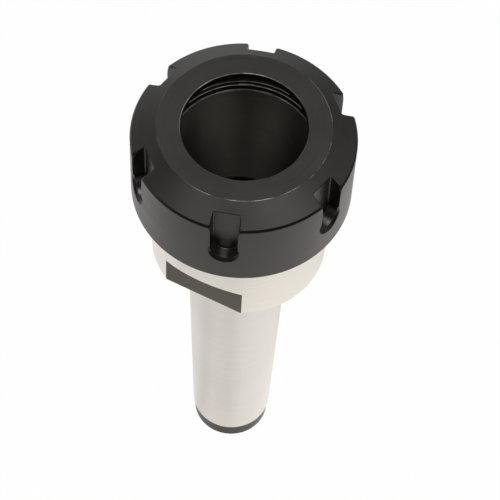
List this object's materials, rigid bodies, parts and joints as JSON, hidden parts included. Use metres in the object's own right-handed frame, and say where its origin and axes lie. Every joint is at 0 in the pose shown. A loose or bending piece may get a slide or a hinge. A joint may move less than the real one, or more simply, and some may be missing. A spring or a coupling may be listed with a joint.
{
  "type": "collet chuck holder",
  "caption": "Taper-shank collet chuck holder: a ground steel body with spanner flats and a conical collet socket, and a slotted black clamping nut that turns on its nose thread.",
  "frame": {"origin": "centre of the shank's small end, on the face that it stands on", "axes": "+Z along the chuck's axis, from the small end of the shank to the clamping nut; -Y out of the front spanner flat of the body"},
  "size_m": [0.05, 0.05, 0.1325],
  "materials": {
    "ground_steel": "ground bright on the body and shank; black oxide on the spanner flats and the small end",
    "black_oxide_steel": "satin black oxide"
  },
  "bodies": {
    "chuck": {"chuck_body": "ground_steel"},
    "nut": {"clamping_nut": "black_oxide_steel"}
  },
  "joints": [
    {"name": "nut_thread", "type": "hinge", "parent": "chuck", "child": "nut", "pos_m": [0, 0, 0.1211], "axis": [0, 0, 1], "range_deg": [0, 2970]}
  ]
}
